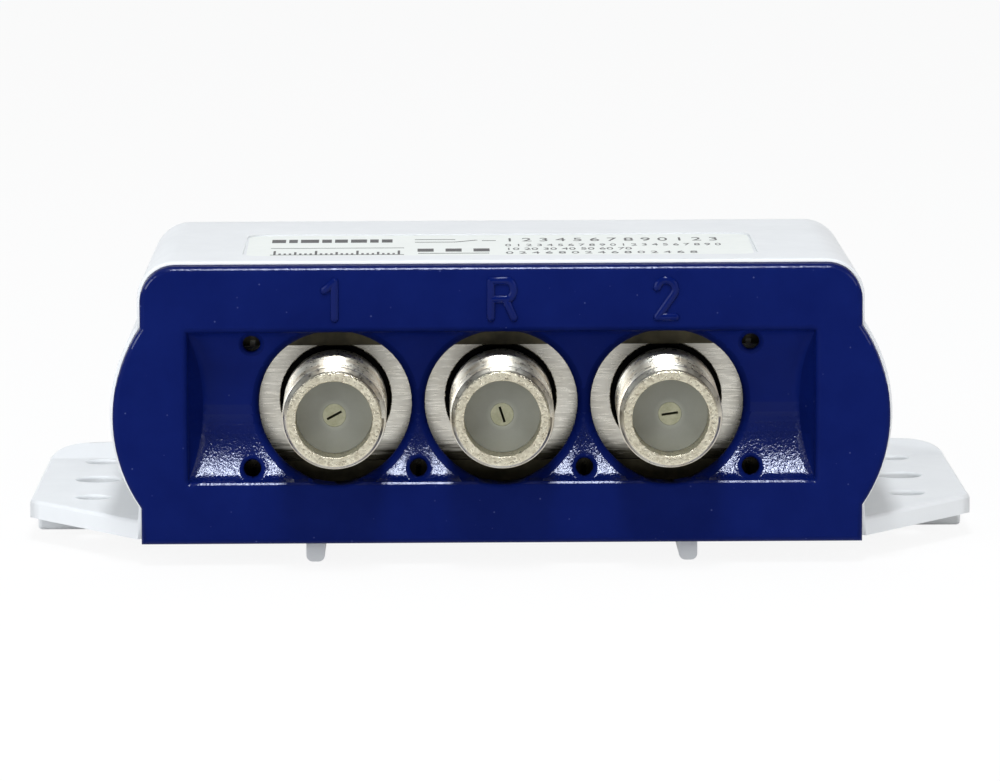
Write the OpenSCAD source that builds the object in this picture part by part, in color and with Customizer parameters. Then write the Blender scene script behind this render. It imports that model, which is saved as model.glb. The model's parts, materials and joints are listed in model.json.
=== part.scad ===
// Satellite switch with two inputs and one output, in a white weather sleeve.
// The wall is the plane z = 0, the sockets point to -Y, and the ears spread along X.

/* [Face] */
// Straight width of the connector face
face_w = 66.3; // [66:0.1:67]
// Height of the connector face
face_h = 25.5; // [25:0.1:26]
// Radius of the face's two upper corners
face_corner = 3.2; // [2.5:0.1:4]
// Radius of the arc that swells each side
bulge_r = 14.8; // [14.5:0.1:15.2]
// Height of the straight line that each side's arc stands on
bulge_chord = 16.7; // [16.4:0.1:17]
// Height of the middle of the side arcs above the base
bulge_rise = 11.5; // [11:0.1:12]
// Thickness of the flange that covers the sleeve's mouth
flange_t = 2; // [1.6:0.1:2.2]
// How far the flange hangs below the sleeve's base
flange_drop = 0.2; // [0:0.05:0.4]

/* [Pocket] */
// Width of the pocket's opening in the face
pocket_w = 58.3; // [57:0.1:59]
// Height of the pocket's opening in the face
pocket_h = 14.3; // [14.3:0.1:15]
// Depth of the scoop at its middle
scoop_depth = 3.8; // [3.4:0.1:4.2]
// Depth of the ledge at the scoop's upper and lower edge
ledge_depth = 1.1; // [0.8:0.1:1.4]
// How far each end wall leans in on its way to the floor
end_lean = 1.5; // [1:0.1:2]
// Thickness of the moulded skin behind the scoop
scoop_skin = 1.2; // [1:0.1:1.4]
// Diameter of the opening round each socket
port_hole_d = 14.1; // [13.5:0.1:14.1]
// Diameter of the drain holes
drain_d = 1.6; // [1.2:0.1:2]
// Distance of the drain holes above and below the sockets' axis
drain_rise = 5.8; // [5.5:0.1:6]

/* [Sockets] */
// Distance between neighbouring sockets
port_pitch = 15.3; // [15:0.1:15.5]
// Height of the sockets' axis above the base
port_rise = 12.3; // [12:0.1:12.8]
// How far the sockets stand out of the face
port_reach = 7; // [5:0.1:9]
// Outer diameter of the thread
thread_d = 9.525; // [9.4:0.005:9.6]
// Diameter of the barrel's front edge
rim_d = 8.8; // [8.4:0.1:9]
// Bore of the barrel
barrel_bore = 7; // [6.5:0.1:7.2]
// How far the insulator lies behind the barrel's front edge
insulator_recess = 3.1; // [1:0.1:4]
// Diameter of the slotted centre contact
contact_d = 2.1; // [1.8:0.1:2.2]

/* [Shield box] */
// Depth of the box's front panel behind the face
panel_depth = 7.9; // [7.5:0.1:9]
// Width of the frame
frame_w = 56; // [54:0.5:56]
// Length of the frame from front to back
frame_l = 30; // [26:0.5:30]
// Height of the frame
frame_h = 15.7; // [15:0.1:16]
// Depth of the frame's lower edge below the sockets' axis
frame_drop = 8.25; // [8:0.05:8.25]
// Thickness of the frame's sheet
frame_t = 0.5; // [0.4:0.05:0.6]
// Thickness of the lids' sheet
lid_t = 0.35; // [0.3:0.05:0.4]
// Height of the lids' rims over the frame
lid_rim = 2.45; // [2:0.05:3]
// Diameter of the panel's hole round each barrel
panel_hole_d = 10.7; // [10:0.1:11.5]

/* [Sleeve] */
// Depth from the connector face to the closed end
sleeve_depth = 46.5; // [46:0.5:52]
// Wall thickness
wall = 1.6; // [1.4:0.1:1.6]
// How far the sleeve stands outside the flange's outline
reveal = 0.3; // [0.3:0.05:0.5]
// Radius of the closed end's upper edge
end_round = 12; // [8:0.5:12]
// Radius of the side swells' far ends
swell_round = 6; // [4:0.5:7]
// Height of the base above the wall that the feet stand on
stand_off = 2.2; // [1.5:0.1:3]
// Width of the two ribs under the base
rib_w = 1.7; // [1.4:0.1:2.2]
// Distance of each rib from the middle
rib_x = 17.2; // [15:0.1:20]

/* [Ears] */
// Width over both ears
ear_span = 88.4; // [86:0.2:92]
// Thickness of the ears
ear_t = 1.75; // [1.5:0.05:2.2]
// Depth of each ear's outer front corner behind the face
ear_front = 15.5; // [14:0.5:18]
// How far each ear's outer edge leans in on its way to the rear
ear_lean = 0.5; // [0:0.1:0.8]
// Radius of each ear's rear corner
ear_corner = 3.8; // [2:0.1:5]
// Distance of the screw holes from the middle
hole_x = 38.3; // [38:0.1:39]
// Depth of the front screw hole behind the face
hole_depth = 17.5; // [17:0.25:20]
// Distance from one screw hole to the next
hole_pitch = 11.75; // [11:0.25:12]
// Diameter of the front and rear screw holes
small_hole_d = 3.2; // [3:0.1:3.6]
// Diameter of the middle screw hole
large_hole_d = 4.2; // [4:0.1:4.6]

/* [Label] */
// Width of the label
label_w = 47; // [40:0.5:50]
// Length of the label
label_l = 17; // [14:0.5:20]
// Depth of the label's front edge behind the face
label_start = 6.5; // [5:0.5:9]

/* [Hidden] */
$fn = 96;

// Free play between the carrier and the sleeve, and a hair's gap where they rest on each other
play = 0.3;
touch_gap = 0.1;
// Room for a cut to run past the face that it goes through
past = 1;

// Front and back of the whole object lie at equal distances from the origin
face_y = port_reach - (port_reach + sleeve_depth) / 2;
mouth_y = face_y + flange_t + touch_gap;
end_y = face_y + sleeve_depth;
base_z = stand_off;
axis_z = base_z + port_rise;
bulge_z = base_z + bulge_rise;
bulge_x = face_w / 2 - sqrt(pow(bulge_r, 2) - pow(bulge_chord / 2, 2));
swell = bulge_x + bulge_r - face_w / 2;
sleeve_top = base_z + face_h + reveal;
side_x = face_w / 2 + reveal;
port_x = [-port_pitch, 0, port_pitch];

// Sleeve: where the side swells end before the closed end, the ribs, feet and label
swell_stop = 5;
rib_start = 2.6;
rib_stop = 5;
rib_round = 0.6;
ear_lead = 1;
ear_tip_l = 3.6;
ear_tip_turn = 19;
foot_start = 23;
foot_stop = 12;
foot_w = 1.6;
foot_margin = 0.4;
label_corner = 1.5;
recess_depth = 0.2;
recess_gap = 0.4;

// The scoop is part of a cylinder along X whose axis lies in front of the face
scoop_sag = scoop_depth - ledge_depth;
scoop_r = (pow(pocket_h / 2, 2) + pow(scoop_sag, 2)) / (2 * scoop_sag);
scoop_y = face_y + scoop_depth - scoop_r;
skin_y = face_y + scoop_depth + scoop_skin;

// Carrier behind its face
spigot_wall = 1.5;
spigot_half = face_w / 2 + reveal - wall - play;
spigot_top = sleeve_top - wall - play;
tray_low = base_z + wall + play;
panel_y = face_y + panel_depth;
lid_front = panel_y - lid_t;
lid_back = panel_y + frame_l + lid_t;
frame_low = axis_z - frame_drop;
frame_top = frame_low + frame_h;
tray_floor = frame_low - lid_t;
box_play = 0.25;
tray_half = frame_w / 2 + lid_t + box_play;
tray_wall = 1.4;
tray_side_drop = 3;
tray_side_top = axis_z - tray_side_drop;
tray_stop_h = 4;
snap_gap = 0.05;
tray_back = lid_back + snap_gap;
tray_end = tray_back + tray_wall;
tray_bridge = 4;
window_w = 20;
window_x = 14;
pad_x = 25.5;
pad_w = 1.2;
clip_start = [14, 29];
clip_l = 6;
clip_nose = 0.8;
clip_lead = 0.4;
clip_h = 1.6;
lid_slit = 0.5;
tab_l = 3;
tab_reach = 1.2;
tab_inset = 2;

// Spring arms run in the side arcs, and their hooks stop at the ribs in the sleeve's mouth
cavity_bulge = bulge_r + reveal - wall;
arm_play = 1.2;
arm_out = bulge_x + cavity_bulge - arm_play;
arm_t = 1.3;
arm_half = 3.5;
hook_half = 2.2;
hook_reach = 0.65;
hook_out = arm_out + hook_reach;
stop_play = 0.35;
stop_in = arm_out + stop_play;
stop_inset = 0.4;
stop_y = mouth_y + stop_inset;
stop_l = 1.5;
stop_half = 3;
slide_travel = 30;
hook_y = stop_y + stop_l + slide_travel + play;
hook_l = 2.2;

// Sockets, measured from the inner face of the panel
seat_y = panel_y + frame_t;
port_front = panel_depth + frame_t + port_reach;
socket_back = 2.7;
shoulder_t = 1.2;
neck_r = 4.5;
neck_l = frame_t + 1;
rim_bevel = 0.6;
bore_r = barrel_bore / 2;
contact_r = contact_d / 2;
tail_r = 0.45;
tail_l = 4.8;
slit_w = 0.22;
slit_h = 1.5;
slit_l = 6;
slit_turn = [-62, 18, -82];
seat_gap = 0.02;

// Circuit board, with its upper face under the sockets' tails
board_t = 1.2;
board_top = axis_z - tail_r;
board_gap = 4.5;
board_front = seat_y + board_gap;
board_back = panel_y + frame_l - frame_t;
board_half = frame_w / 2 - frame_t;
board_mid = (board_front + board_back) / 2;

white = [0.91, 0.925, 0.935];
blue = [0.067, 0.122, 0.376];
tin = [0.71, 0.69, 0.64];
nickel = [0.78, 0.77, 0.74];

// Flat outlines drawn in the plane that each name gives, and pulled along the third axis
module along_x(x0, x1) translate([x0, 0, 0]) rotate([90, 0, 90]) linear_extrude(x1 - x0) children();
module along_y(y0, y1) translate([0, y1, 0]) rotate([90, 0, 0]) linear_extrude(y1 - y0) children();
module along_z(z0, z1) translate([0, 0, z0]) linear_extrude(z1 - z0) children();

module box(low, high) translate(low) cube(high - low);

// Draws its children on both sides of the middle
module both_sides() {
    children();
    mirror([1, 0, 0]) children();
}

// Points of a round stretch about a centre
function arc(centre, r, from, to, steps = 12) = [
    for (i = [0:steps]) let (a = from + (to - from) * i / steps) centre + r * [cos(a), sin(a)]
];

// Box with two round upper corners, standing on a straight lower edge
module arch_outline(half, low, top, r) {
    translate([-half, low]) square([2 * half, top - r - low]);
    translate([r - half, low]) square([2 * (half - r), top - low]);
    for (side = [-1, 1])
        translate([side * (half - r), top - r]) circle(r);
}

// Outline of the face: upright sides, round upper corners and an arc that swells each side
module face_outline() {
    arch_outline(face_w / 2, base_z - flange_drop, base_z + face_h, face_corner);
    for (side = [-1, 1])
        intersection() {
            translate([side * bulge_x, bulge_z]) circle(bulge_r);
            translate([side * (face_w + swell) / 2, bulge_z])
                square([swell + 2 * past, 2 * bulge_r], center = true);
        }
}

// Side view of the sleeve: the closed end's upper edge is a large round
module end_profile(y0, y1, low, top, r) {
    translate([y0, low]) square([y1 - y0, top - r - low]);
    translate([y0, low]) square([y1 - y0 - r, top - low]);
    translate([y1 - r, top - r]) circle(r);
}

// The side view pulled across, with one round along each rim, over the bend and down the closed end
module sleeve_body(inset, y0) {
    half = side_x - inset;
    y1 = end_y - inset;
    low = base_z + inset;
    top = sleeve_top - inset;
    r = face_corner + reveal - inset;
    bend = end_round - inset;
    along_x(r - half, half - r) end_profile(y0, y1, low, top, bend);
    along_x(-half, half) end_profile(y0, y1 - r, low, top - r, bend - r);
    both_sides() translate([half - r, 0, 0]) {
        translate([0, y0, top - r]) rotate([-90, 0, 0]) cylinder(r = r, h = y1 - bend - y0);
        translate([0, y1 - bend, top - bend]) rotate([0, 90, 0])
            rotate_extrude() translate([bend - r, 0]) circle(r);
        translate([0, y1 - r, low]) cylinder(r = r, h = top - bend - low);
    }
}

// Right side's swell: a stretch of a round bar, whose far end is rounded off before the closed end
module side_swell(grow, y0, y1, r) {
    bar_r = bulge_r + grow;
    half = face_w / 2 + grow;
    intersection() {
        translate([bulge_x, y0, bulge_z]) rotate([-90, 0, 0]) rotate_extrude() {
            square([bar_r, y1 - y0 - r]);
            square([bar_r - r, y1 - y0]);
            translate([bar_r - r, y1 - y0 - r]) circle(r);
        }
        box([half - past, y0, bulge_z - bar_r], [half + swell + past, y1, bulge_z + bar_r]);
    }
}

// Outer form of the sleeve or, with the wall as its inset, its inside
module sleeve_form(inset, y0) {
    sleeve_body(inset, y0);
    both_sides() side_swell(reveal - inset, y0, end_y - inset - swell_stop, swell_round - inset);
}

// Right ear in plan: a slanted front edge, an outer edge that leans in and a round rear corner
module ear_plan() {
    outer = ear_span / 2;
    root = side_x - wall / 2;
    corner = [outer - ear_lean - ear_corner, end_y - ear_corner];
    front = face_y + ear_front;
    slant = [[side_x, mouth_y], [outer - ear_lead, front - ear_lead / 2], [outer, front + ear_lead]];
    // Behind, the ear runs in under the closed end's round corner
    inner = [[side_x - face_corner, end_y], [root, end_y - face_corner], [root, mouth_y]];
    polygon(concat(slant, arc(corner, ear_corner, 0, 90), inner));
}

// Right ear from the side: flat, with its last stretch tipped up a little
module ear_profile() {
    crease = end_y - ear_tip_l;
    tip_rise = ear_tip_l * tan(ear_tip_turn);
    low = base_z;
    top = base_z + ear_t;
    polygon([
        [mouth_y, low], [crease, low], [end_y, low + tip_rise],
        [end_y, top + tip_rise], [crease, top], [mouth_y, top]
    ]);
}

module ear() {
    foot_y = face_y + foot_start;
    foot_in = side_x - wall / 2;
    foot_out = ear_span / 2 - foot_margin;
    foot_top = base_z + ear_t / 2;
    difference() {
        intersection() {
            along_z(base_z, base_z + 3 * ear_t) ear_plan();
            along_x(0, ear_span) ear_profile();
        }
        for (i = [0:2])
            translate([hole_x, face_y + hole_depth + i * hole_pitch, base_z - past])
                cylinder(d = i == 1 ? large_hole_d : small_hole_d, h = ear_t + 2 * past);
    }
    // Foot under the ear: a cross rib and an outer rib that stand on the wall
    box([foot_in, foot_y, 0], [foot_out, foot_y + foot_w, foot_top]);
    box([foot_out - foot_w, foot_y, 0], [foot_out, end_y - foot_stop, foot_top]);
}

module base_rib() {
    half = rib_w / 2;
    flat = half - rib_round;
    along_y(face_y + rib_start, end_y - rib_stop) {
        translate([rib_x - half, rib_round]) square([rib_w, base_z + wall / 2 - rib_round]);
        translate([rib_x - flat, 0]) square([2 * flat, base_z]);
        for (side = [-1, 1])
            translate([rib_x + side * flat, rib_round]) circle(rib_round);
    }
}

// Rounded outline of the label and, a little larger, of its recess
module label_outline(grow = 0) {
    r = label_corner + grow;
    w = label_w / 2 + grow;
    y0 = face_y + label_start - grow;
    y1 = face_y + label_start + label_l + grow;
    translate([r - w, y0]) square([2 * (w - r), y1 - y0]);
    translate([-w, y0 + r]) square([2 * w, y1 - y0 - 2 * r]);
    for (side = [-1, 1], y = [y0 + r, y1 - r])
        translate([side * (w - r), y]) circle(r);
}

module outer_sleeve() color(white) {
    difference() {
        union() {
            sleeve_form(0, mouth_y);
            both_sides() ear();
            both_sides() base_rib();
        }
        sleeve_form(wall, mouth_y - past);
        along_z(sleeve_top - recess_depth, sleeve_top + past) label_outline(recess_gap);
    }
    // Ribs inside the mouth that the carrier's hooks stop against
    both_sides()
        box([stop_in, stop_y, bulge_z - stop_half],
            [bulge_x + cavity_bulge + wall / 2, stop_y + stop_l, bulge_z + stop_half]);
}

module label() color([0.93, 0.95, 0.945])
    along_z(sleeve_top - recess_depth, sleeve_top - recess_depth / 2) label_outline();

// The scooped pocket, or with a skin the moulding behind it
module scoop(skin = 0) {
    lean_x = pocket_w / 2 - end_lean + skin;
    wide_x = pocket_w / 2 + skin;
    floor_y = face_y + scoop_depth + skin;
    start_y = skin > 0 ? face_y : face_y - past;
    slope = end_lean / scoop_depth;
    edge_x = wide_x + slope * (face_y - start_y);
    low = axis_z - pocket_h / 2 - skin;
    high = axis_z + pocket_h / 2 + skin;
    intersection() {
        union() {
            translate([-wide_x, scoop_y, axis_z]) rotate([0, 90, 0])
                cylinder(r = scoop_r + skin, h = 2 * wide_x);
            box([-edge_x, start_y, low], [edge_x, face_y + ledge_depth + skin, high]);
        }
        along_z(low, high)
            polygon([[-edge_x, start_y], [edge_x, start_y], [lean_x, floor_y], [-lean_x, floor_y]]);
    }
}

// Short collar behind the flange that guides the carrier in the sleeve's mouth
module spigot_outline(inset = 0)
    arch_outline(spigot_half - inset, tray_low + inset, spigot_top - inset, face_corner - inset);

// A round bar on each socket's axis
module port_bars(d, y0, y1)
    for (x = port_x)
        translate([x, y1, axis_z]) rotate([90, 0, 0]) cylinder(d = d, h = y1 - y0);

module drain_holes() {
    low = [for (i = [-1.5, -0.5, 0.5, 1.5]) [i * port_pitch, -drain_rise]];
    high = [for (i = [-1.5, 1.5]) [i * port_pitch, drain_rise]];
    for (p = concat(low, high))
        translate([p[0], skin_y + past, axis_z + p[1]]) rotate([90, 0, 0])
            cylinder(d = drain_d, h = scoop_depth + scoop_skin + 2 * past);
}

// Tray that the shield box lies in, with windows in its floor
module tray() {
    half = tray_half + tray_wall;
    start = face_y + flange_t;
    window_l = (tray_back - skin_y - 3 * tray_bridge) / 2;
    difference() {
        box([-half, start, tray_low], [half, tray_end, tray_floor]);
        for (row = [0, 1]) {
            window_y = skin_y + tray_bridge + row * (window_l + tray_bridge);
            both_sides()
                box([window_x - window_w / 2, window_y, tray_low - past],
                    [window_x + window_w / 2, window_y + window_l, tray_floor + past]);
        }
    }
    both_sides() box([tray_half, start, tray_low], [half, tray_end, tray_side_top]);
    box([-tray_half, tray_back, tray_low], [tray_half, tray_end, tray_floor + tray_stop_h]);
}

// Clip on the tray's wall that holds the shield box down
module box_clip(y) {
    lid_top = frame_top + lid_t + snap_gap;
    tip = tray_half - clip_nose;
    back = tray_half + tray_wall;
    along_y(y, y + clip_l)
        polygon([
            [tray_half, tray_low], [tray_half, lid_top], [tip, lid_top], [tip, lid_top + clip_lead],
            [tip + clip_h - clip_lead, lid_top + clip_h], [back, lid_top + clip_h], [back, tray_low]
        ]);
}

// Spring arm with a hook, which keeps the carrier from being pulled right out
module spring_arm() {
    arm_mid = arm_out - arm_t / 2;
    hook_end = hook_y + hook_l;
    arm_y = face_y + flange_t / 2;
    box([arm_out - arm_t, arm_y, bulge_z - arm_half], [arm_out, hook_end, bulge_z + arm_half]);
    along_z(bulge_z - hook_half, bulge_z + hook_half)
        polygon([[arm_mid, hook_y], [hook_out, hook_y], [arm_out, hook_end], [arm_mid, hook_end]]);
}

module carrier() color(blue) {
    difference() {
        union() {
            along_y(face_y, face_y + flange_t) face_outline();
            difference() {
                along_y(face_y + flange_t / 2, skin_y) spigot_outline();
                along_y(face_y + flange_t, skin_y + past) spigot_outline(spigot_wall);
            }
            scoop(scoop_skin);
            both_sides()
                box([pad_x, face_y + flange_t / 2, axis_z - pocket_h / 2],
                    [pad_x + pad_w, lid_front, axis_z + pocket_h / 2]);
        }
        scoop();
        port_bars(port_hole_d, face_y - past, lid_front);
        drain_holes();
    }
    tray();
    both_sides() {
        for (start = clip_start)
            box_clip(face_y + start);
        spring_arm();
    }
}

// Four walls of folded sheet, with a drawn collar round each socket and tabs bent in under the board
module shield_frame() color(tin) {
    board_low = board_top - board_t;
    collar_end = seat_y + socket_back;
    difference() {
        union() {
            difference() {
                box([-frame_w / 2, panel_y, frame_low], [frame_w / 2, panel_y + frame_l, frame_top]);
                box([-board_half, seat_y, frame_low - past], [board_half, board_back, frame_top + past]);
            }
            port_bars(panel_hole_d + 2 * frame_t, panel_y, collar_end);
        }
        port_bars(panel_hole_d, panel_y - past, collar_end + past);
    }
    for (y = [board_front + tab_inset, board_back - tab_inset - tab_l])
        both_sides()
            box([board_half - tab_reach, y, board_low - frame_t],
                [board_half + frame_t / 2, y + tab_l, board_low]);
}

// Lid with a rim that goes over the frame; up is 1 for the upper lid and -1 for the lower one
module lid(up) color(tin) {
    middle = (frame_low + frame_top) / 2;
    half = frame_w / 2;
    // Slits part the rims into spring fingers, out of sight of the pocket's openings
    slit_x = [for (i = [-1.5, -0.5, 0.5, 1.5]) i * port_pitch];
    slit_y = [for (i = [1, 2, 3]) panel_y + i * frame_l / 4];
    slit_z = frame_h / 2 - lid_slit;
    rim_z = frame_h / 2 - lid_rim;
    translate([0, 0, middle]) mirror([0, 0, up > 0 ? 0 : 1])
        difference() {
            box([-half - lid_t, lid_front, rim_z], [half + lid_t, lid_back, frame_h / 2 + lid_t]);
            box([-half, panel_y, rim_z - past], [half, panel_y + frame_l, frame_h / 2]);
            for (x = slit_x)
                box([x - lid_slit / 2, lid_front - past, rim_z - past],
                    [x + lid_slit / 2, lid_back + past, slit_z]);
            for (y = slit_y)
                box([-half - past, y - lid_slit / 2, rim_z - past], [half + past, y + lid_slit / 2, slit_z]);
        }
}

module shield_lid_top() lid(1);
module shield_lid_bottom() lid(-1);

// Turns a profile of radius and height into a round piece on a socket's axis, towards the front
module on_port(i) translate([port_x[i], seat_y, axis_z]) rotate([90, 0, 0]) children();

// Barrel of the thread's outer size, with a bevelled front edge, a neck and a shoulder held in the collar
module socket_shell(i) color(nickel) {
    thread_r = thread_d / 2;
    shoulder_r = panel_hole_d / 2 - seat_gap;
    shoulder_front = shoulder_t - socket_back;
    on_port(i) rotate_extrude()
        polygon([
            [bore_r, -socket_back], [shoulder_r, -socket_back], [shoulder_r, shoulder_front],
            [neck_r, shoulder_front], [neck_r, neck_l], [thread_r, neck_l],
            [thread_r, port_front - rim_bevel], [rim_d / 2, port_front], [bore_r, port_front]
        ]);
}

// Disc that fills the bore round the contact
module socket_insulator(i) color([0.43, 0.43, 0.4]) {
    inner = contact_r + seat_gap;
    outer = bore_r - seat_gap;
    front = port_front - insulator_recess;
    on_port(i) rotate_extrude()
        translate([inner, -socket_back]) square([outer - inner, front + socket_back]);
}

// Centre contact, flush with the disc, with its own turn of the slot and a tail that lies on the board
module socket_contact(i) color([0.75, 0.7, 0.5])
    on_port(i) rotate(slit_turn[i]) {
        front = port_front - insulator_recess;
        slit_end = front - slit_l;
        difference() {
            translate([0, 0, -socket_back]) cylinder(r = contact_r, h = front + socket_back);
            box([-slit_w / 2, -slit_h / 2, slit_end], [slit_w / 2, slit_h / 2, front + past]);
        }
        translate([0, 0, -socket_back - tail_l]) cylinder(r = tail_r, h = tail_l + tail_r);
    }

module socket_1_shell() socket_shell(0);
module socket_r_shell() socket_shell(1);
module socket_2_shell() socket_shell(2);
module socket_1_insulator() socket_insulator(0);
module socket_r_insulator() socket_insulator(1);
module socket_2_insulator() socket_insulator(2);
module socket_1_contact() socket_contact(0);
module socket_r_contact() socket_contact(1);
module socket_2_contact() socket_contact(2);

module circuit_board() color([0.16, 0.36, 0.2])
    box([-board_half, board_front, board_top - board_t], [board_half, board_back, board_top]);

// A block that stands on the board, by its middle and its size
module on_board(x, y, size)
    translate([x - size[0] / 2, board_mid + y - size[1] / 2, board_top]) cube(size);

// Flat package with a row of legs along both of its long sides
module control_chip() color([0.1, 0.1, 0.1]) {
    package = [3.9, 4.9, 1.5];
    leg_size = [1.2, 0.42, 0.3];
    leg_pitch = 1.27;
    leg_x = 2.4;
    lift = 0.15;
    place = [0, 3];
    translate([0, 0, lift]) on_board(place[0], place[1], package);
    for (side = [-1, 1], leg = [0:3])
        on_board(place[0] + side * leg_x, place[1] + (leg - 1.5) * leg_pitch, leg_size);
}

module voltage_regulator() color([0.1, 0.1, 0.1]) {
    package = [4.5, 2.5, 1.5];
    leg_size = [0.45, 1.2, 0.4];
    leg_pitch = 1.5;
    leg_y = -1.7;
    place = [12, 6];
    on_board(place[0], place[1], package);
    for (leg = [-1, 0, 1])
        on_board(place[0] + leg * leg_pitch, place[1] + leg_y, leg_size);
}

// Flat metal can with round ends
module resonator() color([0.75, 0.73, 0.68]) {
    can_d = 3;
    can_h = 1.6;
    spread = 1;
    place = [-9, 5];
    on_board(place[0], place[1], [2 * spread, can_d, can_h]);
    for (side = [-1, 1])
        translate([place[0] + side * spread, board_mid + place[1], board_top])
            cylinder(d = can_d, h = can_h);
}

module switch_diodes() color([0.12, 0.12, 0.12])
    for (x = [-12, -5, 5, 12])
        on_board(x, -4, [2.9, 1.3, 1]);

// Drum chokes: a core with two flanges
module chokes() color([0.25, 0.23, 0.22]) {
    drum_d = 4;
    core_d = 3;
    drum_h = 3.2;
    drum_flange = 0.7;
    for (x = [-20, 0, 20])
        translate([x, board_mid - 3.5, board_top]) {
            cylinder(d = core_d, h = drum_h);
            for (z = [0, drum_h - drum_flange])
                translate([0, 0, z]) cylinder(d = drum_d, h = drum_flange);
        }
}

module chip_capacitors() color([0.7, 0.58, 0.42])
    for (x = [-23, -16.5, 8.5, 16.5, 23], y = [2, 7])
        on_board(x, y, [2, 1.25, 0.9]);

module chip_resistors() color([0.08, 0.08, 0.09])
    for (x = [-21.5, -14, 14, 21.5])
        on_board(x, 10, [1.6, 0.8, 0.45]);

outer_sleeve();
label();
carrier();
shield_frame();
shield_lid_top();
shield_lid_bottom();
socket_1_shell();
socket_r_shell();
socket_2_shell();
socket_1_insulator();
socket_r_insulator();
socket_2_insulator();
socket_1_contact();
socket_r_contact();
socket_2_contact();
circuit_board();
control_chip();
voltage_regulator();
resonator();
switch_diodes();
chokes();
chip_capacitors();
chip_resistors();
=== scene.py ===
# %% [markdown]
# # A satellite switch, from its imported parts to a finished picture
# The object is a small outdoor switch for coaxial cables. A white weather sleeve with two mounting
# ears holds a blue moulded carrier, and three threaded sockets stand out of the carrier's scooped
# face. The construction is already packed as exact parts, all in one frame and in metres. This
# lesson gives those parts their looks: softened edges, cut threads, raised marks, print and finishes.

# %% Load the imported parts
import json
import math

import bmesh
import bpy
from mathutils import Matrix, Vector
from mathutils.geometry import delaunay_2d_cdt


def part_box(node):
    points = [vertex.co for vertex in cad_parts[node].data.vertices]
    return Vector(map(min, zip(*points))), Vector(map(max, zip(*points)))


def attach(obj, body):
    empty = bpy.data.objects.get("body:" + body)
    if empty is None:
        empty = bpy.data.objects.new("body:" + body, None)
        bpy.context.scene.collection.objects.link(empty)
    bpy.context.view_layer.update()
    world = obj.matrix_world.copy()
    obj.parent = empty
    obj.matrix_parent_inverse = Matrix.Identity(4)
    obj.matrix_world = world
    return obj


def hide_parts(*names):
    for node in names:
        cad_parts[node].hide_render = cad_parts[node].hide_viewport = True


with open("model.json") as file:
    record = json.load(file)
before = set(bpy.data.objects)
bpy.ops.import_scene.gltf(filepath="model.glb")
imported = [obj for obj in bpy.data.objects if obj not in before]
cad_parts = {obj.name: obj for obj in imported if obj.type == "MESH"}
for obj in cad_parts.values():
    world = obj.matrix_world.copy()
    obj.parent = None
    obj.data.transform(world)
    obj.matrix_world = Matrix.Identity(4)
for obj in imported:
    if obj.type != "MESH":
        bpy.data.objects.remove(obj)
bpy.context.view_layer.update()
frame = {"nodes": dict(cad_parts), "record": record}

MM = 0.001
scene = bpy.context.scene
scene.view_settings.view_transform = "Standard"

# %% [markdown]
# ## Where things are
# Every place on the object follows from the parts' own boxes, so nothing has to be fitted by eye. The
# carrier's lowest Y is the connector face. A socket's box gives its axis and its front edge.

# %% Read the main places from the parts
PORTS = ("1", "r", "2")
face_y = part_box("carrier")[0].y
sleeve_low, sleeve_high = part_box("outer_sleeve")
mouth_y = sleeve_low.y
shell_low, shell_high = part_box("socket_r_shell")
axis_z = (shell_low.z + shell_high.z) / 2
front_y = shell_low.y
port_x = {port: sum(corner.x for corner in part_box(f"socket_{port}_shell")) / 2 for port in PORTS}
port_pitch = port_x["2"] - port_x["r"]
panel_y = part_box("shield_frame")[0].y
print("face", round(face_y / MM, 2), "socket axis", round(axis_z / MM, 2), "front", round(front_y / MM, 2))

# %% [markdown]
# ## Camera
# The photograph looks at the face from a little above, with a long lens. Its place was worked out from
# the nearer and farther edges of the object, so the picture has the same perspective. A long lens has a
# large focal length and stands far away, which keeps the sides of the box almost parallel.

# %% Set up the camera
CAMERA_PLACE = Vector((-7.03, -705.7, 107.46)) * MM
CAMERA_YAW, CAMERA_PITCH, CAMERA_ROLL = -0.575, -7.579, -0.223
CAMERA_LENS = 271.66

camera = bpy.data.objects.new("camera", bpy.data.cameras.new("camera"))
camera.data.lens = CAMERA_LENS
camera.data.clip_start = 0.01
camera.data.clip_end = 20
camera.matrix_world = (
    Matrix.Translation(CAMERA_PLACE)
    @ Matrix.Rotation(math.radians(CAMERA_YAW), 4, "Z")
    @ Matrix.Rotation(math.radians(90 + CAMERA_PITCH), 4, "X")
    @ Matrix.Rotation(math.radians(CAMERA_ROLL), 4, "Z")
)
scene.collection.objects.link(camera)
scene.camera = camera
print("camera", round(CAMERA_PLACE.length, 3), "m away")

# %% [markdown]
# ## Finishes
# A finish is a small tree of shader nodes. Each one reads Object coordinates, so its grain keeps one real
# size on every piece and stays put when the piece moves. A few helpers keep the trees short: one makes a
# finish, one adds a node with its values, and the others turn a pattern into a colour, number or bump.

# %% Helpers for shader nodes
NOISE_RANGE = (0.3, 0.7)


def new_finish(name):
    """A new material, its node tree and its shader."""
    finish = bpy.data.materials.new(name)
    finish.use_nodes = True
    return finish, finish.node_tree, finish.node_tree.nodes["Principled BSDF"]


def add_node(tree, kind, values=None, **settings):
    """A node with some of its sockets and settings filled in."""
    node = tree.nodes.new("ShaderNode" + kind)
    for name, value in settings.items():
        setattr(node, name, value)
    for name, value in (values or {}).items():
        node.inputs[name].default_value = value
    return node


def object_place(tree, size, stretch=(1, 1, 1)):
    """The place on the object, counted in lumps of size metres that stretch draws out."""
    place = add_node(tree, "TexCoord")
    scaled = add_node(tree, "Mapping", {"Scale": [1 / (size * part) for part in stretch]})
    tree.links.new(place.outputs["Object"], scaled.inputs["Vector"])
    return scaled.outputs["Vector"]


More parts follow.
